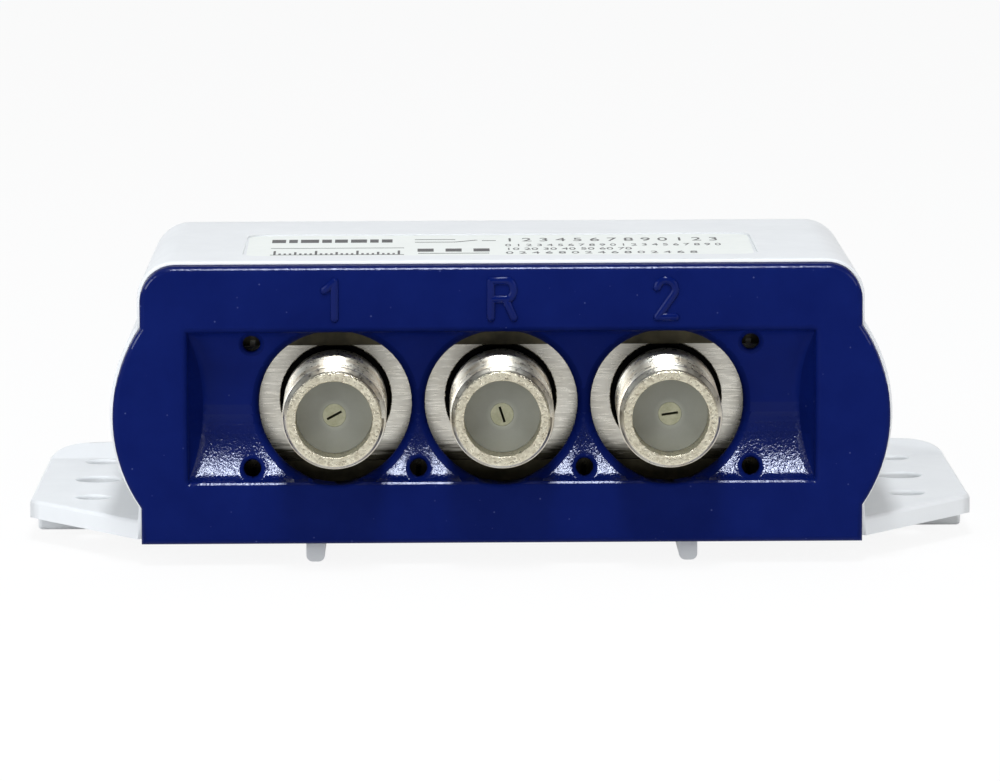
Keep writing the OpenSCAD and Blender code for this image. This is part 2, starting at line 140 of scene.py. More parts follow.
def object_axes(tree):
    """A node that gives the place on the object as X, Y and Z."""
    place = add_node(tree, "TexCoord")
    split = add_node(tree, "SeparateXYZ")
    tree.links.new(place.outputs["Object"], split.inputs["Vector"])
    return split


def object_pattern(tree, size, stretch=(1, 1, 1), detail=3.0):
    """Noise whose lumps are about size metres across."""
    noise = add_node(tree, "TexNoise", {"Scale": 1.0, "Detail": detail, "Roughness": 0.6})
    tree.links.new(object_place(tree, size, stretch), noise.inputs["Vector"])
    return noise.outputs["Fac"]


def ranged(tree, source, low, high, to_low, to_high):
    """Maps a number from one range to another and stops at the ends."""
    ends = {"From Min": low, "From Max": high, "To Min": to_low, "To Max": to_high}
    node = add_node(tree, "MapRange", ends)
    tree.links.new(source, node.inputs["Value"])
    return node.outputs["Result"]


def spread(tree, noise, low=0.0, high=1.0):
    """Maps the usual range of a noise to a wider or narrower one."""
    return ranged(tree, noise, *NOISE_RANGE, low, high)


def computed(tree, operation, first, second):
    """One Math node on two sockets, or on a socket and a number."""
    node = add_node(tree, "Math", operation=operation)
    for socket, value in zip(node.inputs, (first, second)):
        if isinstance(value, bpy.types.NodeSocket):
            tree.links.new(value, socket)
        else:
            socket.default_value = value
    return node.outputs[0]


def blended(tree, share, first, second):
    """Mixes two colours, or a colour socket and a colour, by a number."""
    mix = add_node(tree, "Mix", data_type="RGBA")
    tree.links.new(share, mix.inputs["Factor"])
    for socket, colour in ((mix.inputs[6], first), (mix.inputs[7], second)):
        if isinstance(colour, bpy.types.NodeSocket):
            tree.links.new(colour, socket)
        else:
            socket.default_value = (*colour, 1)
    return mix.outputs[2]


def bumped(tree, shader, height, depth):
    """Lets a pattern raise the surface by about depth metres."""
    bump = add_node(tree, "Bump", {"Strength": 1.0, "Distance": depth})
    tree.links.new(height, bump.inputs["Height"])
    tree.links.new(bump.outputs["Normal"], shader.inputs["Normal"])


def recolour(finish, colour):
    """Links a colour to the shader of a finish."""
    shader = finish.node_tree.nodes["Principled BSDF"]
    finish.node_tree.links.new(colour, shader.inputs["Base Color"])


# %% [markdown]
# ### Blue plastic
# The face of the carrier is a satin moulding with a little dust on it. The scooped pocket was cut in the
# mould by spark erosion, so its lower floor has a grain that breaks the light into sparkling points. The
# rounded rim and the raised marks are smoother. One function makes all these finishes from one blue. The
# glossier a finish is, the more it mirrors the lamp, so the floor takes a row of them, duller at the top and
# glossier band by band towards its lower edge. The floor's blue is also painted lighter towards the top, by
# up to about a third, as painted light on the upper floor. A bluish tint on the mirrored light keeps the
# sheen from going grey. The dust is a pattern of cells, of which a few get a pale dot.

# %% Make the blue finishes
BLUE = (0.0016, 0.0067, 0.08)
BLUE_LIGHT = (0.0025, 0.0088, 0.093)
BLUE_CLOUD = 5 * MM
SHEEN = (0.78, 0.83, 1.0)
DUST = (0.055, 0.07, 0.2)
DUST_CELL, DUST_DOT = 1.3 * MM, 0.1 * MM
DUST_CORE = 0.4
DUSTY_CELLS = (0.58, 0.75)
FLOOR_GLOSS = (0.07, 0.14, 0.26, 0.5, 1.0)
FLOOR_ROUGH, ROUGH_STEP = (0.42, 0.11), 0.1
FLOOR_DEPTH, FLOOR_GRAIN = (0.01 * MM, 0.05 * MM), 0.25 * MM
# Painted light: the floor's blue is lifted to 1.35 times at the top band, falling to plain blue at the
# bottom.
FLOOR_PAINTED_LIFT = (1.35, 1.0)


def dust_dots(tree):
    """Small dots in a few cells of a random pattern."""
    cells = add_node(tree, "TexVoronoi", {"Scale": 1.0})
    tree.links.new(object_place(tree, DUST_CELL), cells.inputs["Vector"])
    edge = DUST_DOT / DUST_CELL
    near = ranged(tree, cells.outputs["Distance"], edge * DUST_CORE, edge, 1, 0)
    chosen = ranged(tree, cells.outputs["Color"], *DUSTY_CELLS, 0, 1)
    return computed(tree, "MULTIPLY", near, chosen)


def make_blue(name, gloss, roughness, grain, depth, painted_lift=1.0):
    """The blue plastic, with a gloss, a range of roughness, a grain of some size and depth, and a painted
    lift.
    """
    finish, tree, shader = new_finish(name)
    clouds = spread(tree, object_pattern(tree, BLUE_CLOUD))
    colour = blended(tree, clouds, *([part * painted_lift for part in blue] for blue in (BLUE, BLUE_LIGHT)))
    recolour(finish, blended(tree, dust_dots(tree), colour, DUST))
    lumps = object_pattern(tree, grain, detail=2)
    tree.links.new(spread(tree, lumps, *roughness), shader.inputs["Roughness"])
    shader.inputs["Specular IOR Level"].default_value = gloss
    shader.inputs["Specular Tint"].default_value = (*SHEEN, 1)
    bumped(tree, shader, lumps, depth)
    return finish


def make_blue_floor(number):
    """The pocket's floor in one of its bands, counted from the dull one at the top, which is painted
    lightest.
    """
    share = number / (len(FLOOR_GLOSS) - 1)
    ends = (FLOOR_ROUGH, FLOOR_DEPTH, FLOOR_PAINTED_LIFT)
    rough, depth, painted_lift = (top + (bottom - top) * share for top, bottom in ends)
    roughness = (rough, rough + ROUGH_STEP)
    return make_blue(f"blue_floor_{number}", FLOOR_GLOSS[number], roughness, FLOOR_GRAIN, depth, painted_lift)


blue_plastic = make_blue("blue_satin", 0.05, (0.42, 0.55), 0.5 * MM, 0.008 * MM)
blue_rim = make_blue("blue_rim", 0.5, (0.14, 0.26), 0.4 * MM, 0.03 * MM)
blue_floors = [make_blue_floor(number) for number in range(len(FLOOR_GLOSS))]
blue_mark = make_blue("blue_mark", 0.13, (0.08, 0.18), 0.7 * MM, 0.012 * MM)
blues = (blue_plastic, blue_rim, *blue_floors)
print("blue:", *(finish.name for finish in blues), blue_mark.name)

# %% [markdown]
# ### White plastic
# The sleeve is a weather-proof white with a soft sheen. A white that is written as pure white loses its
# form in the light, so this one is a little below it, cool, with broad faint clouds and a fine moulded grain.

# %% Make the white finish
WHITE = (0.77, 0.785, 0.795)
WHITE_SHADE = (0.735, 0.75, 0.76)
WHITE_CLOUD, WHITE_PATCH = 9 * MM, 2 * MM
WHITE_ROUGHNESS = (0.38, 0.5)
WHITE_GLOSS = 0.3
WHITE_GRAIN, WHITE_GRAIN_DEPTH = 0.3 * MM, 0.006 * MM


def make_white_plastic():
    """The white plastic of the sleeve."""
    finish, tree, shader = new_finish("white_satin")
    clouds = spread(tree, object_pattern(tree, WHITE_CLOUD))
    recolour(finish, blended(tree, clouds, WHITE, WHITE_SHADE))
    roughness = spread(tree, object_pattern(tree, WHITE_PATCH), *WHITE_ROUGHNESS)
    tree.links.new(roughness, shader.inputs["Roughness"])
    shader.inputs["Specular IOR Level"].default_value = WHITE_GLOSS
    bumped(tree, shader, object_pattern(tree, WHITE_GRAIN), WHITE_GRAIN_DEPTH)
    return finish


white_plastic = make_white_plastic()
print("white:", white_plastic.name)

# %% [markdown]
# ### Metals
# The shield box is tinned sheet, whose rolling marks run across it. The sockets are nickel-plated, with a
# warm cast where the plating is thin, and coarse and bright where a tool has cut them. All are metals, so
# their colour is the colour of their reflection, and patterns in roughness and bump make them look handled.
# Two entries are painted shade: a darkened tin for the front of the shield box, and a near-black for the
# recesses round the sockets. One table lists each metal's tones, the size of its patches and grain, its
# roughness and its depth.

# %% Make the metals
TIN = (0.84, 0.815, 0.735)
TIN_DULL = (0.72, 0.69, 0.605)
# Colours of painted shade on the tin.
SHADE_TIN = (0.14, 0.125, 0.08)
SHADE_TIN_DARK = (0.06, 0.055, 0.04)
NICKEL = (0.66, 0.65, 0.585)
NICKEL_WARM = (0.50, 0.44, 0.34)
NICKEL_CUT = (0.82, 0.775, 0.62)
NICKEL_CUT_DULL = (0.56, 0.51, 0.385)
# A near-black, painted as shade in the recesses round the sockets.
RECESS_SHADE = (0.012, 0.012, 0.012)
RECESS_SHADE_LIGHT = (0.02, 0.019, 0.017)
CONTACT = (0.52, 0.52, 0.38)
CONTACT_DULL = (0.4, 0.4, 0.27)
PATCH_RANGE = (0.35, 0.7)
EVEN = (1, 1, 1)
ROLLED = (14, 4, 1)


def make_metal(name, tones, patch, grain, stretch, roughness, depth):
    """A metal with patches of two tones and a grain that stretch draws out, and its colour socket."""
    finish, tree, shader = new_finish(name)
    shader.inputs["Metallic"].default_value = 1.0
    patches = ranged(tree, object_pattern(tree, patch), *PATCH_RANGE, 0, 1)
    colour = blended(tree, patches, *tones)
    recolour(finish, colour)
    lines = object_pattern(tree, grain, stretch, detail=2)
    tree.links.new(spread(tree, lines, *roughness), shader.inputs["Roughness"])
    bumped(tree, shader, lines, depth)
    return finish, colour


METALS = {
    "tinned_sheet": ((TIN, TIN_DULL), 3 * MM, 0.12 * MM, ROLLED, (0.24, 0.36), 0.004 * MM),
    # Tin with painted shade, for the lids' front rims.
    "shade_painted_tin": ((SHADE_TIN, SHADE_TIN_DARK), 3 * MM, 0.1 * MM, ROLLED, (0.35, 0.5), 0.006 * MM),
    "nickel": ((NICKEL, NICKEL_WARM), 2.5 * MM, 0.5 * MM, EVEN, (0.24, 0.4), 0.013 * MM),
    "cut_nickel": ((NICKEL_CUT, NICKEL_CUT_DULL), 0.35 * MM, 0.22 * MM, EVEN, (0.22, 0.45), 0.09 * MM),
    # Painted shade: near-black for the sockets' necks and the panel's collars.
    "painted_recess_black": ((RECESS_SHADE, RECESS_SHADE_LIGHT), 1 * MM, 0.2 * MM, EVEN, (0.5, 0.7), 0.01 * MM),
    "contact_metal": ((CONTACT, CONTACT_DULL), 0.6 * MM, 0.1 * MM, EVEN, (0.4, 0.6), 0.01 * MM),
}
FINISHES = {"white_plastic": white_plastic, "blue_plastic": blue_plastic}
base_colours = {}
for name, look in METALS.items():
    FINISHES[name], base_colours[name] = make_metal(f"{name}_finish", *look)
print("metals:", *METALS)

# %% [markdown]
# ### Painted shade on the tin
# At the front the tin is painted darker, as shade: on the rims of the lids, and in a streaked band above and
# below the sockets next to those rims. A blend by place does it, worked out from the height over the sockets'
# axis and the distance behind the panel. So the rest of the box stays bright where it shows when the carrier
# is drawn out.

# %% Paint shade on the front of the shield box
PAINTED_SHADE_ENDS = (0.8 * MM, 1.4 * MM)
PAINTED_SHADE_FROM = 5.2 * MM
PAINTED_SHADE_BLUR = 0.3 * MM
PAINTED_SHADE_FADE = 1.4 * MM
STREAK_T, STREAK_L = 0.25 * MM, 0.5 * MM


def at_front(tree):
    """One at the front of the shield box, falling to nought a little behind it."""
    start, stop = (panel_y + end for end in PAINTED_SHADE_ENDS)
    return ranged(tree, object_axes(tree).outputs["Y"], start, stop, 1, 0)


def paint_panel_shade(finish, colour):
    """Paints shade on the tin in bands above and below the sockets, next to the lids' rims."""
    tree = finish.node_tree
    up = computed(tree, "SUBTRACT", object_axes(tree).outputs["Z"], axis_z)
    streaks = spread(tree, object_pattern(tree, STREAK_T, ROLLED), -STREAK_L, STREAK_L)
    above = ranged(tree, up, PAINTED_SHADE_FROM, PAINTED_SHADE_FROM + PAINTED_SHADE_BLUR, 0, 1)
    below = ranged(tree, computed(tree, "ADD", up, streaks), -PAINTED_SHADE_FROM, -PAINTED_SHADE_FROM + PAINTED_SHADE_FADE, 1, 0)
    shaded_band = computed(tree, "MULTIPLY", computed(tree, "MAXIMUM", above, below), at_front(tree))
    recolour(finish, blended(tree, shaded_band, colour, SHADE_TIN_DARK))


def keep_lid_shade_to_rim(finish, colour):
    """Keeps the painted shade of a lid to its front rim, and leaves the rest of it tin."""
    tree = finish.node_tree
    recolour(finish, blended(tree, at_front(tree), TIN_DULL, colour))


# The panel's tin gets painted shade in bands above and below the sockets, the lids' tin on their front rims.
paint_panel_shade(FINISHES["tinned_sheet"], base_colours["tinned_sheet"])
keep_lid_shade_to_rim(FINISHES["shade_painted_tin"], base_colours["shade_painted_tin"])
# Shows from what height over and under the axis the tin is painted with shade.
print("tarnish from", round(PAINTED_SHADE_FROM / MM, 2), "mm over and under the axis")

# %% [markdown]
# ### The small finishes
# The sockets' insulators are a waxy grey plastic, paler in a ring round the contact. That halo is worked
# out from the distance to the nearest socket axis, which repeats at the sockets' pitch. The label is a plain
# film. Inside the shield box lie a green board and its parts, which no view shows, but a part that is opened
# later should still look right.

# %% Make the insulator, label, ink and board finishes
INSULATOR = (0.26, 0.266, 0.234)
INSULATOR_SHADE = (0.24, 0.246, 0.215)
INSULATOR_HALO = (0.33, 0.335, 0.29)
HALO_ENDS = (1.0 * MM, 1.5 * MM)
GRAINS_PER_PATCH = 6


def make_plain(name, tones, patch, roughness, depth=0.01 * MM):
    """A finish of two near tones with a fine grain, and its colour socket."""
    finish, tree, shader = new_finish(name)
    colour = blended(tree, spread(tree, object_pattern(tree, patch)), *tones)
    recolour(finish, colour)
    grain = object_pattern(tree, patch / GRAINS_PER_PATCH)
    tree.links.new(spread(tree, grain, *roughness), shader.inputs["Roughness"])
    bumped(tree, shader, grain, depth)
    return finish, colour


def add_halo(finish, colour):
    """Makes the insulator paler close to its socket's axis."""
    tree = finish.node_tree
    split = object_axes(tree)
    across = add_node(tree, "Math", {1: port_pitch / 2, 2: -port_pitch / 2}, operation="WRAP")
    tree.links.new(split.outputs["X"], across.inputs[0])
    up = computed(tree, "SUBTRACT", split.outputs["Z"], axis_z)
    square = computed(tree, "MULTIPLY", across.outputs[0], across.outputs[0])
    total = computed(tree, "ADD", square, computed(tree, "MULTIPLY", up, up))
    halo = ranged(tree, computed(tree, "SQRT", total, 0.0), *HALO_ENDS, 1, 0)
    recolour(finish, blended(tree, halo, colour, INSULATOR_HALO))


PLAIN = {
    "insulator": ((INSULATOR, INSULATOR_SHADE), 1.5 * MM, (0.45, 0.6)),
    "label_film": (((0.80, 0.83, 0.795), (0.775, 0.805, 0.77)), 5 * MM, (0.3, 0.4), 0.002 * MM),
    "ink": (((0.03, 0.03, 0.032), (0.05, 0.05, 0.055)), 1 * MM, (0.4, 0.5), 0.001 * MM),
    "board": (((0.02, 0.11, 0.04), (0.03, 0.14, 0.05)), 1.2 * MM, (0.3, 0.45)),
    "chip_black": (((0.012, 0.012, 0.013), (0.02, 0.02, 0.021)), 0.8 * MM, (0.45, 0.6)),
    "ferrite": (((0.05, 0.043, 0.04), (0.075, 0.065, 0.06)), 0.5 * MM, (0.5, 0.7)),
    "ceramic_tan": (((0.45, 0.3, 0.15), (0.5, 0.35, 0.19)), 0.5 * MM, (0.35, 0.5)),
}
for name, look in PLAIN.items():
    FINISHES[name], base_colours[name] = make_plain(f"{name}_finish", *look)
add_halo(FINISHES["insulator"], base_colours["insulator"])
for part in frame["record"]["subparts"]:
    materials = frame["nodes"][part["node"]].data.materials
    materials.clear()
    # The lids take the tin with painted shade on their front rims.
    is_lid = part["node"].startswith("shield_lid")
    materials.append(FINISHES["shade_painted_tin" if is_lid else part["material_slot"]])

# %% [markdown]
# ## Pieces
# New pieces are made in a bmesh, Blender's editable mesh, and then turned into an object that rides on one
# of the two bodies, sleeve or carrier. Edges that turn by less than a set angle are shaded smooth. A Weighted
# Normal modifier then lets the large faces rule the shading, so a flat stays flat beside a small rounding.

# %% Helpers for pieces
SMOOTH_UNDER = math.radians(32)
SHARP_OVER = math.radians(28)
MERGE_WITHIN = 0.002 * MM
FLAT_WITHIN = math.radians(0.2)


def make_piece(name, bm, finishes, body, stands_for=()):
    """Turns a bmesh into a smooth-shaded piece with its finishes, on its body."""
    mesh = bpy.data.meshes.new(name)
    bm.to_mesh(mesh)
    bm.free()
    for finish in finishes:
        mesh.materials.append(finish)
    mesh.shade_smooth()
    mesh.set_sharp_from_angle(angle=SMOOTH_UNDER)
    piece = bpy.data.objects.new(name, mesh)
    scene.collection.objects.link(piece)
    weigh = piece.modifiers.new("weighted_normal", "WEIGHTED_NORMAL")
    weigh.mode = "FACE_AREA_WITH_ANGLE"
    weigh.keep_sharp = True
    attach(piece, body)
    if stands_for:
        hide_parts(*stands_for)
    print(name, len(mesh.polygons), "faces")


def merged_copy(node):
    """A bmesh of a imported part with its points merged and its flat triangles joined."""
    bm = bmesh.new()
    bm.from_mesh(frame["nodes"][node].data)
    bmesh.ops.remove_doubles(bm, verts=bm.verts, dist=MERGE_WITHIN)
    bmesh.ops.dissolve_limit(bm, angle_limit=FLAT_WITHIN, verts=bm.verts, edges=bm.edges, delimit={"NORMAL"})
    return bm


def soften(bm, width, choose, segments=3, material=-1):
    """Rounds the sharp edges that a test picks by their middle."""
    picked = [
        edge for edge in bm.edges
        if len(edge.link_faces) == 2 and edge.calc_face_angle(0) > SHARP_OVER
        and choose((edge.verts[0].co + edge.verts[1].co) / 2)
    ]
    bmesh.ops.bevel(
        bm, geom=picked, offset=width, offset_type="OFFSET", affect="EDGES", segments=segments,
        profile=0.5, material=material, clamp_overlap=False,
    )
    return len(picked)


# %% [markdown]
# ### The carrier's front, as a height over the face
# The scooped pocket is the hardest form on this object: a hollow cylinder meets slanted ends, and three large
# and six small holes break through it, all with moulded round edges. A bevel tears there, because the edges
# run into each other. So the front is described by one formula instead: how deep the surface lies behind the
# face at any place, across and up. Minimums and sums of simple shapes give every rounding at once. Only the
# pocket's lower edge, its sill, is a narrow slant, which catches the lamp as one thin bright line.

# %% Write the front as a formula, in millimetres
POCKET_W, POCKET_H = 58.3, 14.3
SCOOP_DEPTH, LEDGE_DEPTH, END_LEAN = 3.8, 1.1, 1.5
SCOOP_SAG = SCOOP_DEPTH - LEDGE_DEPTH
SCOOP_R = ((POCKET_H / 2) ** 2 + SCOOP_SAG ** 2) / (2 * SCOOP_SAG)
SCOOP_AXIS = SCOOP_DEPTH - SCOOP_R
POCKET_EDGE = 0.6
SILL, CEILING = -6.76, 7.05
SILL_EDGE, SILL_SLANT = 0.25, 0.7
END_INSET = 0.35
WALL_HALF_W = POCKET_W / 2 - END_INSET
WALL_DRAFT, STEEP = 0.04, 40
FOOT_LEAN = 1.3
PORT_HOLE_R, PORT_EDGE = 7.05, 0.65
SILL_HOLE_EDGE = 0.25
DRAIN_R, DRAIN_EDGE, DRAIN_RISE = 0.8, 0.4, 5.8

pitch_mm = port_pitch / MM
HOLES = [(column * pitch_mm, 0.0, PORT_HOLE_R, PORT_EDGE) for column in (-1, 0, 1)]
HOLES += [(column * pitch_mm, -DRAIN_RISE, DRAIN_R, DRAIN_EDGE) for column in (-1.5, -0.5, 0.5, 1.5)]
HOLES += [(column * pitch_mm, DRAIN_RISE, DRAIN_R, DRAIN_EDGE) for column in (-1.5, 1.5)]


def round_off(radius, distance):
    """Drop of a rounded edge at some distance from the wall that it ends in."""
    reach = radius - min(max(distance, 0.0), radius)
    return radius - math.sqrt(radius ** 2 - reach ** 2)


def between(value, ends):
    """Share of the way from one end to the other, kept between nought and one."""
    return min(max((value - ends[0]) / (ends[1] - ends[0]), 0.0), 1.0)


def pocket_edge(past_end, past_ledge, below):
    """Drop of the face beside the pocket: a rounding, and along the sill a narrow slant."""
    rounding = round_off(POCKET_EDGE, math.hypot(max(past_end, 0), max(past_ledge, 0)))
    slant = max(SILL_EDGE - max(below, 0), 0) * SILL_SLANT
    share = between(-past_end, (0, POCKET_EDGE)) if below >= 0 else 0.0
    return rounding + (slant - rounding) * share


def scoop_floor(up):
    """Depth of the hollow cylinder behind the face."""
    return SCOOP_AXIS + math.sqrt(SCOOP_R ** 2 - min(max(up, SILL), CEILING) ** 2)


SILL_DEPTH = scoop_floor(SILL)
END_SLOPE = (SCOOP_DEPTH - SILL_DEPTH) / FOOT_LEAN


def front_depth(across, up):
    """Depth of the moulded front behind the plane of the face."""
    past_end = abs(across) - WALL_HALF_W
    past_ledge = max(SILL - up, up - CEILING)
    in_pocket = max(past_end, past_ledge) < 0
    if in_pocket:
        straight_wall = POCKET_EDGE - max(past_end, past_ledge) * STEEP
        depth = min(scoop_floor(up), straight_wall, SILL_DEPTH - past_end * END_SLOPE)
    else:
        depth = pocket_edge(past_end, past_ledge, SILL - up)
    for x, z, hole_r, edge_r in HOLES:
        radius = edge_r if in_pocket else SILL_HOLE_EDGE
        depth += round_off(radius, math.hypot(across - x, up - z) - hole_r)
    return depth


print("scoop radius", round(SCOOP_R, 2), "mm, sill", round(SILL_DEPTH, 2), "mm behind the face")

# %% [markdown]
# ### Taking the old front off
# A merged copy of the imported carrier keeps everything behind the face. Its outer front edge gets a bevel,
# where the light runs as a thin bright line: the faces of the bevel that turn up towards the lamp get the
# smoother finish. Then the faces of the flat front and of the pocket are deleted. What stays open are the
# outer rim and the mouths of the nine holes.

# %% Open the front of a copy of the carrier
NEAR = 0.006
FLANGE_ROUND = 0.55 * MM
SATIN, RIM, FLOOR = range(3)
RIM_LIT = (0.2, 0.75)
POCKET_MARGIN = 1.0


def local(point):
    """A point as millimetres across, behind the face and up from the sockets' axis."""
    return point.x / MM, (point.y - face_y) / MM, (point.z - axis_z) / MM


def on_outer_rim(point):
    """Whether a point is on the plane of the face and away from the pocket."""
    across, depth, up = local(point)
    beside_pocket = abs(across) < POCKET_W / 2 + POCKET_MARGIN
    at_pocket = beside_pocket and abs(up) < POCKET_H / 2 + POCKET_MARGIN
    return abs(depth) < NEAR and not at_pocket


def on_face(across, depth, up):
    return abs(depth) < NEAR


def on_scoop(across, depth, up):
    return abs(math.hypot(depth - SCOOP_AXIS, up) - SCOOP_R) < NEAR and abs(across) < POCKET_W / 2


def on_ledge(across, depth, up):
    return abs(abs(up) - POCKET_H / 2) < NEAR and depth < LEDGE_DEPTH + NEAR


def on_end_wall(across, depth, up):
    return abs(abs(across) - POCKET_W / 2 + depth * END_LEAN / SCOOP_DEPTH) < NEAR and abs(up) < POCKET_H


def in_old_front(face):
    """Whether a face lies wholly in the flat front or in one of the pocket's surfaces."""
    places = [local(vert.co) for vert in face.verts]
    tests = (on_face, on_scoop, on_ledge, on_end_wall)
    return any(all(test(*place) for place in places) for test in tests)


carrier_bm = merged_copy("carrier")
rims = soften(carrier_bm, FLANGE_ROUND, on_outer_rim, segments=5, material=RIM)
for face in carrier_bm.faces:
    if face.material_index == RIM and not RIM_LIT[0] < face.normal.z < RIM_LIT[1]:
        face.material_index = SATIN
old_front = [face for face in carrier_bm.faces if in_old_front(face)]
bmesh.ops.delete(carrier_bm, geom=old_front, context="FACES")
border = [edge for edge in carrier_bm.edges if edge.is_boundary]
print(rims, "rim edges rounded,", len(border), "edges open")

# %% [markdown]
# ### Laying the new front
# The new front is a net of triangles seen square on. Points go where the form bends: in rows along the
# pocket's edges, in rings round the holes, and in a loose grid on the floor. Some rows are lines that the net
# may not cross: the pocket's edges, and the borders of the floor's bands of gloss. They stop just short of
# the holes, whose rims are already there. A Delaunay net joins it all, and each point is then pushed back
# by the formula.

# %% Lay points over the front
GAP = 0.4
GRID_UP, GRID_ACROSS = 0.55, 0.8
EDGE_STEPS = 5
RING_STEPS = 6
NEAR_LINE = 0.06
CLEAR = 0.03
RING_ROOM = 1.3
LEDGE_ROOM = 0.7
LEAST_SPOKES = 32
GLOSS_FROM = (0.0, -0.9, -1.8, -2.7)
FLOOR_LOW, FLOOR_HIGH = SILL + WALL_DRAFT, CEILING - WALL_DRAFT

corners = sorted({vert for edge in border for vert in edge.verts}, key=lambda vert: vert.index)
numbers = {vert: number for number, vert in enumerate(corners)}
points = [Vector((local(vert.co)[0], local(vert.co)[2])) for vert in corners]
lines = [tuple(numbers[vert] for vert in edge.verts) for edge in border]


def spaced(start, stop, gap):
    """Even steps from start up to, and without, stop."""
    count = max(1, round(abs(stop - start) / gap))
    return [start + (stop - start) * step / count for step in range(count)]


def add_line(places):
    """A line through places that the net may not cross."""
    first = len(points)
    points.extend(Vector(place) for place in places)
    lines.extend((first + step, first + step + 1) for step in range(len(places) - 1))


def clear_runs(z, half_w):
    """The runs of a level line, from side to side, that miss the holes."""
    runs = [(-half_w, half_w)]
    for hole_x, hole_z, hole_r, _ in HOLES:
        half = math.sqrt(max((hole_r + CLEAR) ** 2 - (z - hole_z) ** 2, 0))
        if half > 0:
            left = [(start, min(stop, hole_x - half)) for start, stop in runs]
            right = [(max(start, hole_x + half), stop) for start, stop in runs]
            runs = [run for run in left + right if run[1] - run[0] > CLEAR]
    return runs


def add_level(z, half_w):
    """Level lines over the front, without the parts that lie in holes."""
    for start, stop in clear_runs(z, half_w):
        add_line([(x, z) for x in [*spaced(start, stop, GAP), stop]])


def add_ring(low, high, half_w):
    """A line round the pocket, whose half width may change with the height."""
    column = [*spaced(low, high, GAP), high]
    for height in (low, high):
        add_level(height, half_w(height))
    for side in (-1, 1):
        add_line([(side * half_w(z), z) for z in column])


def floor_end(up):
    """Half width of the scoop's floor, where it meets the slanted ends."""
    return WALL_HALF_W - max((scoop_floor(up) - SILL_DEPTH) / END_SLOPE, WALL_DRAFT)


def clear_of_holes(x, z):
    """Whether a place is outside the rings of all the holes."""
    return all(math.hypot(x - hole_x, z - hole_z) > r + edge * RING_ROOM for hole_x, hole_z, r, edge in HOLES)


def clear_of_ledges(z):
    """Whether a height is well inside the floor or well outside the pocket."""
    on_floor = FLOOR_LOW + NEAR_LINE < z < FLOOR_HIGH - NEAR_LINE
    return on_floor or not SILL - LEDGE_ROOM < z < CEILING + LEDGE_ROOM


for step in range(EDGE_STEPS):
    out = POCKET_EDGE * (1 - math.cos(math.pi / 2 * step / (EDGE_STEPS - 1)))
    add_ring(SILL - out, CEILING + out, lambda up, out=out: WALL_HALF_W + out)
add_level(SILL - SILL_EDGE, WALL_HALF_W - GAP)
add_ring(FLOOR_LOW, FLOOR_HIGH, lambda up: WALL_HALF_W - WALL_DRAFT)
add_ring(FLOOR_LOW, FLOOR_HIGH, floor_end)
for z in GLOSS_FROM:
    add_level(z, floor_end(z))
for z in spaced(FLOOR_LOW, FLOOR_HIGH, GRID_UP)[1:]:
    row = spaced(-floor_end(z), floor_end(z), GRID_ACROSS)[1:]
    if all(abs(z - start) > NEAR_LINE for start in GLOSS_FROM):
        points.extend(Vector((x, z)) for x in row if clear_of_holes(x, z))
for hole_x, hole_z, hole_r, edge_r in HOLES:
    count = max(LEAST_SPOKES, round(math.tau * hole_r / GAP))
    for step in range(1, RING_STEPS + 1):
        ring_r = hole_r + edge_r * (1 - math.cos(math.pi / 2 * step / RING_STEPS))
        for spoke in range(count):
            turn = math.tau * (spoke + step % 2 / 2) / count
            place = Vector((hole_x + ring_r * math.cos(turn), hole_z + ring_r * math.sin(turn)))
            if clear_of_ledges(place.y):
                points.append(place)
print(len(points), "points,", len(lines), "fixed lines")

# %% [markdown]
# The net's triangles inside a hole are left out, so the holes stay open. Where a point of the net is one of
# the old border points, the old point is used, which closes the seam between the new front and the old back.

# %% Join the points and push them back
INSIDE_BORDER = 1
NET_WITHIN = 0.0001
SILL_SHARE = 0.3


def blue_finish_at(across, up):
    """The finish at a place on the front: the sill's edge shines, and the floor more so the lower it is."""
    on_sill = SILL - SILL_EDGE < up <= SILL and abs(across) < WALL_HALF_W
    on_floor = SILL < up < CEILING and abs(across) < floor_end(up)
    share = 1 if on_floor else SILL_SHARE
    at_hole = any(math.hypot(across - x, up - z) < r + edge * share for x, z, r, edge in HOLES)
    if at_hole or not (on_sill or on_floor):
        return SATIN
    if on_sill:
        return RIM
    return FLOOR + sum(up < start for start in GLOSS_FROM)


flat, _, triangles, sources, _, _ = delaunay_2d_cdt(points, lines, [], INSIDE_BORDER, NET_WITHIN)
verts = []
for place, source in zip(flat, sources):
    old = [number for number in source if number < len(corners)]
    y = face_y + front_depth(*place) * MM
    if old:
        corners[old[0]].co.y = y
        verts.append(corners[old[0]])
    else:
        verts.append(carrier_bm.verts.new((place.x * MM, y, axis_z + place.y * MM)))
for triangle in triangles:
    middle = sum((flat[number] for number in triangle), Vector((0, 0))) / len(triangle)
    if any(math.hypot(middle.x - x, middle.y - z) < hole_r for x, z, hole_r, _ in HOLES):
        continue
    face = carrier_bm.faces.new([verts[number] for number in triangle])
    face.material_index = blue_finish_at(*middle)
print("open edges left:", sum(edge.is_boundary for edge in carrier_bm.edges))
make_piece("carrier_moulding", carrier_bm, blues, "carrier", ["carrier"])

# %% [markdown]
# ### The white sleeve
# The sleeve is one moulding with its ears, feet and ribs. It gets soft edges at the mouth, along the top rims
# of the ears and on the feet, and narrower ones round the tops of the screw holes, which lie close to other
# edges. It also gets the draft that lets it leave its mould: the sides draw in towards the closed end. The
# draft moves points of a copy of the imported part, and fades out over the roots of the ears, so that their
# holes stay put.

